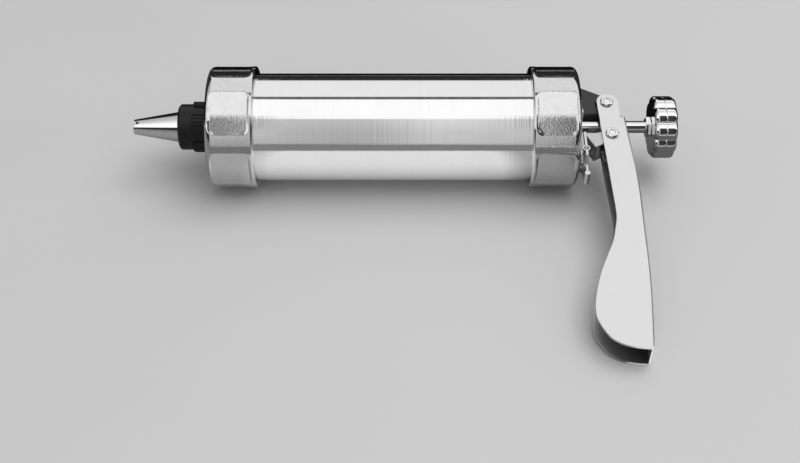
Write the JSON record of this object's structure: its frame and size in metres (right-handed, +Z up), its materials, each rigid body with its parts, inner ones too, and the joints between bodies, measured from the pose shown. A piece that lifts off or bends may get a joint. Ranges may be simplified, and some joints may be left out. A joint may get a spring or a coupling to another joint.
{
  "type": "cookie press",
  "caption": "Hand cookie press: screw-capped steel barrel with nozzle, ratchet rod with knob, and a squeeze lever that drives the piston.",
  "frame": {"origin": "centre of the overall box, on the table that the press lies on", "axes": "+X along the barrel from the nozzle to the knob, +Z up"},
  "size_m": [0.2728, 0.1688, 0.0607],
  "materials": {
    "brushed_tube": "bright drawn tube, fine rings of polish",
    "cast_polish": "cast, tumbled and polished",
    "chrome": "mirror",
    "lever_steel": "satin plated sheet",
    "stamped_steel": "plain zinc plate",
    "spring_steel": "drawn wire",
    "black_plastic": "satin moulding",
    "dark_moulding": "matt moulding",
    "pale_plastic": "food-safe moulding",
    "soft_seal": "soft ring"
  },
  "bodies": {
    "barrel": {"barrel_tube": "brushed_tube", "rear_collar": "cast_polish", "rear_plate": "cast_polish", "guide_bush": "pale_plastic", "frame_bracket": "dark_moulding", "bracket_screw_upper": "stamped_steel", "bracket_screw_lower": "stamped_steel", "lever_pivot_rivet": "chrome", "release_pin": "stamped_steel", "lever_spring": "spring_steel"},
    "front_cap": {"front_collar": "cast_polish", "nozzle_adapter": "cast_polish"},
    "nozzle_set": {"coupling_nut": "black_plastic", "nozzle": "chrome"},
    "piston": {"piston_head": "pale_plastic", "piston_seal": "soft_seal", "piston_washer": "stamped_steel"},
    "rod": {"push_rod": "chrome", "piston_screw": "stamped_steel", "knob_locknut": "chrome", "knob": "chrome"},
    "lever": {"trigger_lever": "lever_steel", "pawl_rivet": "chrome", "pawl_spring": "spring_steel"},
    "pawl": {"drive_pawl": "stamped_steel"},
    "release": {"release_plate": "lever_steel"}
  },
  "joints": [
    {"name": "front_cap_off", "type": "slide", "parent": "barrel", "child": "front_cap", "axis": [-1, 0, 0], "range_m": [0, 0.03]},
    {"name": "nozzle_off", "type": "slide", "parent": "front_cap", "child": "nozzle_set", "axis": [-1, 0, 0], "range_m": [0, 0.02]},
    {"name": "piston_travel", "type": "slide", "parent": "barrel", "child": "piston", "axis": [1, 0, 0], "range_m": [-0.009, 0.143]},
    {"name": "knob_turn", "type": "hinge", "parent": "piston", "child": "rod", "pos_m": [0.12335, 0.05399, 0.03037], "axis": [1, 0, 0], "continuous": true},
    {"name": "lever_squeeze", "type": "hinge", "parent": "barrel", "child": "lever", "pos_m": [0.10175, 0.06473, 0.03224], "axis": [0, 0.1707, -0.9853], "range_deg": [0, 9.5], "stiffness_Nm_per_rad": 0.8, "springref_deg": -17.19},
    {"name": "pawl_parallel", "type": "hinge", "parent": "lever", "child": "pawl", "pos_m": [0.10235, 0.04325, 0.02851], "axis": [0, 0.1707, -0.9853], "range_deg": [-9.5, 0]},
    {"name": "release_tilt", "type": "hinge", "parent": "barrel", "child": "release", "pos_m": [0.08855, 0.03211, 0.02659], "axis": [0, 0.1707, -0.9853], "range_deg": [0, 5], "stiffness_Nm_per_rad": 0.05, "springref_deg": -5.73}
  ],
  "couplings": [
    {"joint": "pawl_parallel", "follows": "lever_squeeze", "ratio": -1}
  ]
}
